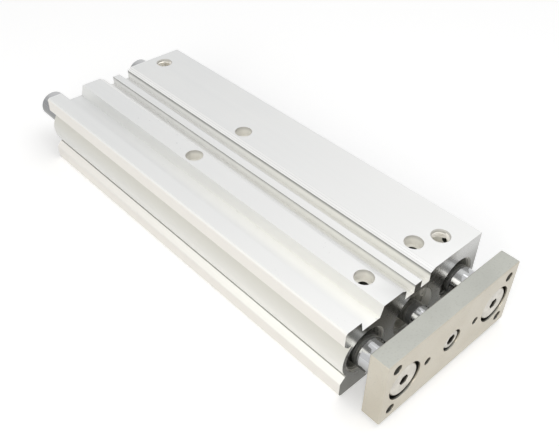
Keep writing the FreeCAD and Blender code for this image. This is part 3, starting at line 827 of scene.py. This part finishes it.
@dataclass(frozen=True)
class SatinNickel:
    """Nickel-plated steel with a fine ground face and slightly warmer clouds."""

    name: str
    colour: Colour
    cloud_colour: Colour
    clouds: Pattern = Pattern(60.0, 4.0)
    cloud: Step = Step(0.5, 0.25)
    pits: Pattern = Pattern(1500.0, 2.0)
    pit: Wash = Wash(PLATING_PIT, 0.35, Step(0.66, 0.05))
    roughness: float = 0.36
    film: Pattern = Pattern(75.0, 4.0)
    film_roughness: float = 0.14
    strokes: Pattern = Pattern(3200.0, 3.0, Grain.ACROSS)
    stroke_roughness: float = 0.08
    stroke_depth: float = 0.003 * MM
    metallic: float = 0.85

    def tint(self, graph: Graph) -> Signal:
        """Mix the plating's clouds and its fine pits.

        Args:
            graph: The graph to add to.

        Returns:
            The colour.
        """
        cloud = graph.noise(self.clouds).above(self.cloud)
        tint = graph.blend(cloud, self.colour, self.cloud_colour)
        return graph.wash(tint, graph.noise(self.pits), self.pit)

    def build(self) -> bpy.types.Material:
        """Make the material, with grinding strokes over its colour.

        Returns:
            The material.
        """
        graph = Graph.material(self.name)
        strokes = graph.noise(self.strokes)
        rough = graph.noise(self.film).swing(self.film_roughness)
        rough = rough + strokes.swing(self.stroke_roughness) + self.roughness
        relief = graph.bump(strokes, self.stroke_depth)
        return graph.finish(
            Base_Color=self.tint(graph), Metallic=self.metallic, Roughness=rough, Normal=relief)


@dataclass(frozen=True)
class PlateNickel(SatinNickel):
    """The end plate's plating: ground faces, with painted shade on the narrow edges and in the
    holes.
    """

    stroke_depth: float = 0.004 * MM
    # painted shade on the faces that look up or down, with clouds and pits of its own
    edge_shade_colour: Colour = (0.475, 0.48, 0.44)
    edge_clouds: Pattern = Pattern(45.0, 5.0)
    edge_cloud: Wash = Wash((0.43, 0.435, 0.40), 1.0, Step(0.5, 0.2))
    edge_pits: Pattern = Pattern(1100.0, 2.0)
    edge_pit: Wash = Wash(PLATING_PIT, 0.4, Step(0.62, 0.08))
    upright: Step = Step(0.8, 0.1)
    # painted shade in the holes
    hole: Wash = Wash((0.07, 0.065, 0.055), 1.0, Step(0.7 * MM, 0.35 * MM))

    def tint(self, graph: Graph) -> Signal:
        """Mix the colours of the faces, the painted shade of the upper and lower edges and of the
        holes.

        Args:
            graph: The graph to add to.

        Returns:
            The colour.
        """
        # painted shade on the upper and lower edges
        edge = graph.wash(self.edge_shade_colour, graph.noise(self.edge_clouds), self.edge_cloud)
        edge = graph.wash(edge, graph.noise(self.edge_pits), self.edge_pit)
        tint = graph.blend(abs(graph.facing.z).above(self.upright), super().tint(graph), edge)
        return graph.wash(tint, self.depth(graph), self.hole)

    def depth(self, graph: Graph) -> Signal:
        """Measure how deep a point lies inside the plate's box, as the holes' walls do.

        Args:
            graph: The graph to add to.

        Returns:
            The distance from the nearest side of the box.
        """
        low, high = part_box("plate")
        x, y, z = (
            (end - start) / 2 - abs(part - (start + end) / 2)
            for part, start, end in zip(graph.place, low, high))
        return x.maths("MINIMUM", y).maths("MINIMUM", z)


@dataclass(frozen=True)
class HardChrome:
    """Ground and hard-chromed rod: a mirror with very fine rings from the grinding wheel.

    Its underside, and more of its tail, carry a painted dark reflection.
    """

    axis_z: float
    colour: Colour = (0.53, 0.535, 0.54)
    films: Pattern = Pattern(90.0, 3.0)
    film: Wash = Wash((0.46, 0.465, 0.48), 0.3)
    film_step: Step = Step(0.55, 0.2)
    film_roughness: float = 0.05
    # painted dark reflection on the underside
    low: Wash = Wash((0.20, 0.20, 0.195), 0.75)
    low_top: Step = Step(1.0 * MM, 3.0 * MM)
    # painted dark reflection on the tail
    tail_dark_reflection: Wash = Wash((0.24, 0.245, 0.25), 0.8)
    tail_x: Step = Step(-140.0 * MM, 1.0 * MM)
    tail_top: Step = Step(7.0 * MM, 1.5 * MM)
    rings: Pattern = Pattern(9000.0, 2.0, Grain.ROUND)
    ring_depth: float = 0.0004 * MM
    roughness: float = 0.07

    def build(self) -> bpy.types.Material:
        """Make the material.

        Returns:
            The material.
        """
        graph = Graph.material("hard_chrome")
        x, _, z = graph.place
        film = graph.noise(self.films)
        tint = graph.wash(self.colour, film, self.film)
        # painted dark reflection on the tail and the underside
        tail_dark_reflection = x.below(self.tail_x) * z.below(self.tail_top.moved(self.axis_z))
        tint = graph.wash(tint, tail_dark_reflection, self.tail_dark_reflection)
        tint = graph.wash(tint, z.below(self.low_top.moved(self.axis_z)), self.low)
        rough = film.above(self.film_step) * self.film_roughness + self.roughness
        relief = graph.bump(graph.noise(self.rings), self.ring_depth)
        return graph.finish(Base_Color=tint, Metallic=1.0, Roughness=rough, Normal=relief)


@dataclass(frozen=True)
class Turned:
    """A lathe-turned part: rings about its axis, which lies at one height and one reach.

    Where a face is given, what lies deeper than it gets painted shade.
    """

    name: str
    colour: Colour
    axis_z: float
    axis_y: float = 0.0
    face_x: float | None = None
    metallic: float = 1.0
    roughness: float = 0.3
    clouds: Pattern = Pattern(220.0, 3.0)
    cloud: Step = Step(0.5, 0.2)
    cloud_cover: float = 0.6
    cloud_light: float = 0.72
    cloud_roughness: float = 0.15
    # painted shade on what lies deeper than the face, such as a bolt head's socket
    recess: Wash = Wash((0.15, 0.14, 0.12))
    recess_x: Step = Step(-0.55 * MM, 0.25 * MM)
    ring_pitch: float = 0.12 * MM
    ring_depth: float = 0.0015 * MM

    def build(self) -> bpy.types.Material:
        """Make the material.

        Returns:
            The material.
        """
        graph = Graph.material(self.name)
        x, y, z = graph.place
        radius = (abs(y) - self.axis_y).hypot(z - self.axis_z)
        rings = (radius * (FULL_TURN / self.ring_pitch)).maths("SINE") * 0.5 + 0.5
        cloud = graph.noise(self.clouds)
        dark = Wash(darker(self.colour, self.cloud_light), self.cloud_cover, self.cloud)
        tint = graph.wash(self.colour, cloud, dark)
        if self.face_x is not None:
            # painted shade behind the face
            tint = graph.wash(tint, x.below(self.recess_x.moved(self.face_x)), self.recess)
        return graph.finish(
            Base_Color=tint, Metallic=self.metallic,
            Roughness=cloud.swing(self.cloud_roughness) + self.roughness,
            Normal=graph.bump(rings, self.ring_depth))


@dataclass(frozen=True)
class Moulded:
    """Rubber, urethane, resin, felt or bonded magnet: matt with a fine skin."""

    name: str
    colour: Colour
    roughness: float = 0.6
    clouds: Pattern = Pattern(150.0, 2.0)
    cloud: Step = Step(0.5, 0.2)
    cloud_cover: float = 0.7
    cloud_light: float = 0.6
    skin: Pattern = Pattern(2500.0, 3.0)
    skin_roughness: float = 0.2
    skin_depth: float = 0.01 * MM

    def build(self) -> bpy.types.Material:
        """Make the material.

        Returns:
            The material.
        """
        graph = Graph.material(self.name)
        skin = graph.noise(self.skin)
        dark = Wash(darker(self.colour, self.cloud_light), self.cloud_cover, self.cloud)
        return graph.finish(
            Base_Color=graph.wash(self.colour, graph.noise(self.clouds), dark),
            Roughness=skin.swing(self.skin_roughness) + self.roughness,
            Normal=graph.bump(skin, self.skin_depth))


class Finishes:
    """Every finish of the object, made once."""

    def __init__(self, form: BodyForm) -> None:
        """Build the materials.

        Args:
            form: The places of the holes and grooves in the body.
        """
        low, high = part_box("piston_rod")
        axis_z = (low.z + high.z) / 2
        guide_low, guide_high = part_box("guide_rod_right")
        guide_y = (guide_low.y + guide_high.y) / 2
        guide_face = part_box("guide_rod_bolt_right")[1].x
        rod_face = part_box("piston_rod_bolt")[1].x
        self.body = Anodised(form).build()
        self.plate = PlateNickel("satin_nickel", (0.60, 0.565, 0.485), (0.56, 0.52, 0.435)).build()
        self.chrome = HardChrome(axis_z).build()
        self.cover = Turned("turned_aluminium", (0.80, 0.79, 0.74), axis_z, metallic=0.2).build()
        self.holder = Turned(
            "pressed_holder", (0.50, 0.50, 0.46), axis_z, guide_y, metallic=0.3,
            roughness=0.25).build()
        self.guide_bolt = Turned(
            "guide_bolt_steel", (0.66, 0.635, 0.58), axis_z, guide_y, guide_face,
            roughness=0.34).build()
        self.rod_bolt = Turned(
            "rod_bolt_steel", (0.62, 0.60, 0.55), axis_z, face_x=rod_face).build()
        self.bronze = Turned("sintered_bronze", (0.42, 0.30, 0.16), axis_z, guide_y).build()
        self.spring_steel = Turned(
            "spring_steel", (0.72, 0.71, 0.67), axis_z, metallic=0.25, roughness=0.35).build()
        self.plug = SatinNickel("zinc_plug", (0.45, 0.45, 0.43), (0.5, 0.49, 0.45)).build()
        self.body_thread = SatinNickel(
            "tapped_aluminium", (0.84, 0.81, 0.75), (0.88, 0.85, 0.78), roughness=0.3).build()
        # painted shade: the plate's threads are coloured near black for the shade in their holes
        self.plate_thread_in_shade = SatinNickel(
            "tapped_steel_in_shade", (0.05, 0.047, 0.04), (0.08, 0.075, 0.065), roughness=0.4).build()
        self.rubber = Moulded("nitrile_rubber", (0.045, 0.045, 0.043)).build()
        self.urethane = Moulded("urethane", (0.50, 0.36, 0.14), roughness=0.45).build()
        self.magnet = Moulded("bonded_magnet", (0.05, 0.05, 0.055), roughness=0.7).build()
        self.resin = Moulded("wear_resin", (0.62, 0.58, 0.50), roughness=0.5).build()
        self.felt = Moulded(
            "wiper_felt", (0.50, 0.48, 0.42), roughness=0.95, skin=Pattern(5000.0, 3.0),
            skin_depth=0.06 * MM).build()


# ------------------------------------------------------------------------ pieces


def smooth_by_angle(bm: bmesh.types.BMesh, angle: float) -> None:
    """Shade smooth, with sharp edges where faces meet at more than an angle.

    Args:
        bm: The mesh.
        angle: The angle, in radians.
    """
    for face in bm.faces:
        face.smooth = True
    for edge in bm.edges:
        edge.smooth = len(edge.link_faces) == 2 and edge.calc_face_angle() < angle


def add_object(name: str, data: bpy.types.ID) -> bpy.types.Object:
    """Put an object into the scene.

    Args:
        name: Its name.
        data: Its mesh, lamp or camera.

    Returns:
        The new object.
    """
    made = bpy.data.objects.new(name, data)
    bpy.context.scene.collection.objects.link(made)
    return made


def add_mesh(
    name: str, bm: bmesh.types.BMesh, material: bpy.types.Material
) -> bpy.types.Object:
    """Turn a bmesh into an object.

    Args:
        name: The object's name.
        bm: The mesh, which is used up.
        material: Its finish.

    Returns:
        The new object.
    """
    mesh = bpy.data.meshes.new(name)
    bm.to_mesh(mesh)
    bm.free()
    mesh.materials.append(material)
    return add_object(name, mesh)


def make_piece(
    name: str, bm: bmesh.types.BMesh, material: bpy.types.Material, body: str
) -> bpy.types.Object:
    """Turn a bmesh into a piece of the object.

    Args:
        name: The piece's name.
        bm: The mesh, which is used up.
        material: Its finish.
        body: The body that it rides on.

    Returns:
        The new object.
    """
    piece = add_mesh(name, bm, material)
    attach(piece, body)
    log.info("%s: %d faces on %s", name, len(piece.data.polygons), body)
    return piece


def dress(material: bpy.types.Material, *nodes: str) -> None:
    """Give carried-over nodes their finish.

    Args:
        material: The finish.
        nodes: The nodes' names.
    """
    for node in nodes:
        target = frame["nodes"][node]
        if not target.material_slots:
            target.data.materials.append(material)
        for slot in target.material_slots:
            slot.material = material
        log.info("%s: dressed in %s", node, material.name)


@dataclass
class SoftenedNode:
    """A copy of a node whose sharp edges are broken, as a real machined part's are."""

    node: str
    body: str
    edge_width: float = 0.25 * MM
    edge_angle: float = math.radians(30)
    segments: int = 2
    merge_gap: float = 0.0005 * MM
    flat_angle: float = math.radians(0.3)

    def build(self, material: bpy.types.Material) -> bpy.types.Object:
        """Make the copy and let it stand for the node.

        Args:
            material: Its finish.

        Returns:
            The new piece.
        """
        bm = bmesh.new()
        bm.from_mesh(frame["nodes"][self.node].data)
        bmesh.ops.remove_doubles(bm, verts=bm.verts, dist=self.merge_gap)
        bmesh.ops.dissolve_limit(
            bm, angle_limit=self.flat_angle, verts=bm.verts, edges=bm.edges)
        sharp = [
            edge for edge in bm.edges
            if len(edge.link_faces) == 2 and edge.calc_face_angle() > self.edge_angle
        ]
        bmesh.ops.bevel(
            bm, geom=sharp, offset=self.edge_width, offset_type="OFFSET", affect="EDGES",
            segments=self.segments, profile=0.5, clamp_overlap=True, material=-1)
        bmesh.ops.recalc_face_normals(bm, faces=bm.faces)
        smooth_by_angle(bm, self.edge_angle)
        piece = make_piece(f"{self.node}_finished", bm, material, self.body)
        weighted = piece.modifiers.new("edge_shading", "WEIGHTED_NORMAL")
        weighted.keep_sharp = True
        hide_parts(self.node)
        slot_of(self.node)
        return piece


@dataclass(frozen=True)
class Thread:
    """The form of a thread, and how deep under a hole's mouth its first turn lies."""

    turns: int
    pitch: float = 1.0 * MM
    tooth: float = 0.3 * MM
    lead_in: float = 0.4 * MM
    wall_gap: float = 0.03 * MM
    crease_angle: float = math.radians(25)
    merge_gap: float = 0.001 * MM
    steps: int = 48
    # one turn's corners: the share of the pitch, and the share of the tooth's height
    corners: tuple[tuple[float, float], ...] = (
        (0.0, 0.0), (0.1, 0.0), (0.45, 1.0), (0.55, 1.0), (0.9, 0.0))


@dataclass
class ThreadSleeve:
    """The thread in a tapped hole: helical ridges that stand just inside the drilled wall."""

    name: str
    body: str
    slot: str
    start: Vector
    outward: Vector
    hole_r: float
    thread: Thread

    def build(self, material: bpy.types.Material) -> bpy.types.Object:
        """Spin a row of teeth by one turn, moving on by one pitch.

        Args:
            material: The finish.

        Returns:
            The new piece.
        """
        thread = self.thread
        bm = bmesh.new()
        root_r = self.hole_r - thread.wall_gap
        corners = [
            bm.verts.new((root_r - height * thread.tooth, 0.0, (turn + share) * thread.pitch))
            for turn in range(thread.turns)
            for share, height in thread.corners
        ]
        row = [bm.edges.new(pair) for pair in zip(corners, corners[1:])]
        bmesh.ops.spin(
            bm, geom=corners + row, cent=(0, 0, 0), axis=Z_AXIS,
            dvec=Z_AXIS * (thread.pitch / thread.steps), angle=FULL_TURN, steps=thread.steps,
            use_merge=False)
        bmesh.ops.remove_doubles(bm, verts=bm.verts, dist=thread.merge_gap)
        bmesh.ops.recalc_face_normals(bm, faces=bm.faces)
        bmesh.ops.reverse_faces(bm, faces=bm.faces)
        turned = Z_AXIS.rotation_difference(-self.outward).to_matrix().to_4x4()
        bmesh.ops.transform(bm, matrix=Matrix.Translation(self.start) @ turned, verts=bm.verts)
        smooth_by_angle(bm, thread.crease_angle)
        piece = make_piece(self.name, bm, material, self.body)
        return piece


def tap_holes(
    pattern: HolePattern, word: str, body: str, slot: str, thread: Thread,
    material: bpy.types.Material,
) -> None:
    """Cut a thread into each hole of a pattern.

    Args:
        pattern: The holes.
        word: What the names of the threads start with.
        body: The body that they ride on.
        slot: The record's material slot; it is not used.
        thread: The form of the thread.
        material: The finish.
    """
    for name, place in pattern.places():
        start = place - thread.lead_in * pattern.outward
        ThreadSleeve(
            f"{word}_thread_{name}", body, slot, start, pattern.outward, pattern.hole_r, thread,
        ).build(material)


@dataclass
class Cylinder:
    """The fixed side: the extruded body and what is fitted into it."""

    form: BodyForm
    port_drop: float = 0.8 * MM
    port_thread: Thread = Thread(3, pitch=0.907 * MM, tooth=0.45 * MM)
    base_thread: Thread = Thread(11)
    rear_thread: Thread = Thread(10)

    def build(self, finishes: Finishes) -> None:
        """Dress the nodes and cut the threads.

        Args:
            finishes: The finishes of the object.
        """
        SoftenedNode("body", CYLINDER).build(finishes.body)
        dress(finishes.plug, "port_plug_front", "port_plug_rear")
        dress(finishes.cover, "rod_cover", "head_cover")
        dress(finishes.rubber, "rod_seal", "rod_cover_gasket", "head_cover_gasket")
        dress(finishes.urethane, "front_bumper", "rear_bumper")
        dress(finishes.bronze, "rod_cover_bush")
        dress(finishes.spring_steel, "rod_cover_ring", "head_cover_ring")
        for side in Side:
            word = side.value
            dress(finishes.bronze, f"guide_bush_front_{word}", f"guide_bush_inner_{word}")
            dress(finishes.holder, f"felt_holder_{word}")
            dress(finishes.spring_steel, f"felt_ring_{word}")
            dress(finishes.felt, f"felt_{word}")
        self.cut_threads(finishes.body_thread)

    def cut_threads(self, material: bpy.types.Material) -> None:
        """Put threads into the ports, the mounting holes and the rear holes.

        Args:
            material: The finish of the threads.
        """
        for port in self.form.ports:
            start = port.middle.copy()
            start.z = self.form.top - self.port_drop
            ThreadSleeve(
                f"{port.mount}_thread", CYLINDER, BODY_SLOT, start, port.outward, port.hole_r,
                self.port_thread,
            ).build(material)
        tap_holes(self.form.base, "mount", CYLINDER, BODY_SLOT, self.base_thread, material)
        tap_holes(self.form.rear_end, "rear", CYLINDER, BODY_SLOT, self.rear_thread, material)


@dataclass
class Carriage:
    """The moving side: plate, rods, bolts and piston."""

    edge_width: float = 0.15 * MM
    thread: Thread = Thread(9)

    def build(self, finishes: Finishes) -> None:
        """Dress the nodes and cut the threads of the plate.

        Args:
            finishes: The finishes of the object.
        """
        SoftenedNode("plate", CARRIAGE, edge_width=self.edge_width).build(finishes.plate)
        dress(finishes.chrome, "piston_rod")
        dress(finishes.cover, "piston")
        dress(finishes.rubber, "piston_seal")
        dress(finishes.magnet, "piston_magnet")
        dress(finishes.resin, "piston_wear_ring")
        dress(finishes.rod_bolt, "piston_rod_bolt")
        for side in Side:
            dress(finishes.chrome, f"guide_rod_{side.value}")
            dress(finishes.guide_bolt, f"guide_rod_bolt_{side.value}")
        corners = HolePattern("plate_holes", Y_AXIS, Z_AXIS)
        tap_holes(corners, "plate", CARRIAGE, PLATE_SLOT, self.thread, finishes.plate_thread_in_shade)


# ------------------------------------------------------------------------- studio


@dataclass(frozen=True)
class Softbox:
    """A large square lamp that looks at the object's middle."""

    name: str
    place: tuple[float, float, float]
    size: float
    power: float
    colour: Colour = (1.0, 1.0, 1.0)

    def build(self) -> None:
        """Hang the lamp."""
        data = bpy.data.lights.new(self.name, "AREA")
        data.shape = "SQUARE"
        data.size = self.size
        data.energy = self.power
        data.color = self.colour
        lamp = add_object(self.name, data)
        lamp.location = self.place
        target = (CAD_BOX[0] + CAD_BOX[1]) / 2
        lamp.rotation_euler = (target - Vector(self.place)).to_track_quat("-Z", "Y").to_euler()


@dataclass
class Studio:
    """Floor, light and camera."""

    lens: float = 46.1
    sensor: float = 36.0
    near_clip: float = 0.01
    camera_place: Vector = Vector((192.5, -196.6, 263.1)) * MM
    camera_turn: tuple[float, float, float] = (48.94, -1.26, 47.18)
    surround: Colour = (1.0, 1.0, 1.0)
    ambient: float = 0.5
    floor_half: float = 3.0
    floor_felt: Colour = (0.80, 0.80, 0.80)
    floor_seen: Colour = (0.95, 0.95, 0.95)
    floor_roughness: float = 0.95
    near_lift: float = 0.28
    far_lift: float = 0.30
    far_step: Step = Step(0.9, 0.45)
    lamps: tuple[Softbox, ...] = (
        Softbox("key", (0.38, -0.75, 0.50), size=0.5, power=3.2, colour=(1.0, 0.98, 0.94)),
        Softbox("fill", (-0.6, -0.6, 0.7), size=0.8, power=0.5),
        Softbox("top", (0.15, 0.35, 1.0), size=0.8, power=2.2, colour=(0.98, 0.99, 1.0)),
    )

    def build(self) -> None:
        """Set the stage."""
        self.set_camera()
        self.set_world()
        self.set_floor()
        for lamp in self.lamps:
            lamp.build()
        bpy.context.scene.view_settings.view_transform = "Standard"

    def set_camera(self) -> None:
        """Place the camera."""
        data = bpy.data.cameras.new("camera")
        data.lens = self.lens
        data.sensor_width = self.sensor
        data.clip_start = self.near_clip
        camera = add_object("camera", data)
        camera.location = self.camera_place
        camera.rotation_euler = [math.radians(angle) for angle in self.camera_turn]
        bpy.context.scene.camera = camera

    def set_world(self) -> None:
        """Give a white surround to the eye and to mirrors, and a plain soft light elsewhere."""
        graph = Graph(bpy.data.worlds.new("studio"))
        strengths = {"Value": graph.direct_look(), "To Min": self.ambient, "To Max": 1.0}
        strength = graph.node("ShaderNodeMapRange", None, strengths)
        bpy.context.scene.world = graph.finish(Color=self.surround, Strength=strength)

    def set_floor(self) -> None:
        """Lay a plain pale floor under the object."""
        bm = bmesh.new()
        bmesh.ops.create_grid(bm, x_segments=1, y_segments=1, size=self.floor_half)
        bmesh.ops.translate(bm, vec=(0, 0, CAD_BOX[0].z), verts=bm.verts)
        floor = add_mesh("floor", bm, self.floor_material())

    def floor_material(self) -> bpy.types.Material:
        """Make the floor's paint, which eye and mirror see lifted towards white, more far off.

        Returns:
            The material.
        """
        graph = Graph.material("floor")
        seen = graph.direct_look()
        far = graph.place.x.hypot(graph.place.y).above(self.far_step)
        lift = seen * (far * self.far_lift + self.near_lift)
        return graph.finish(
            Base_Color=graph.blend(seen, self.floor_felt, self.floor_seen),
            Roughness=self.floor_roughness, Specular_IOR_Level=0.0, Emission_Strength=1.0,
            Emission_Color=graph.node("ShaderNodeCombineColor", None, [lift, lift, lift]))


def main() -> None:
    """Build the studio and dress the object."""
    logging.basicConfig(level=logging.INFO, format="%(message)s")
    Studio().build()
    form = BodyForm()
    finishes = Finishes(form)
    Cylinder(form).build(finishes)
    Carriage().build(finishes)


if __name__ == "__main__":
    main()
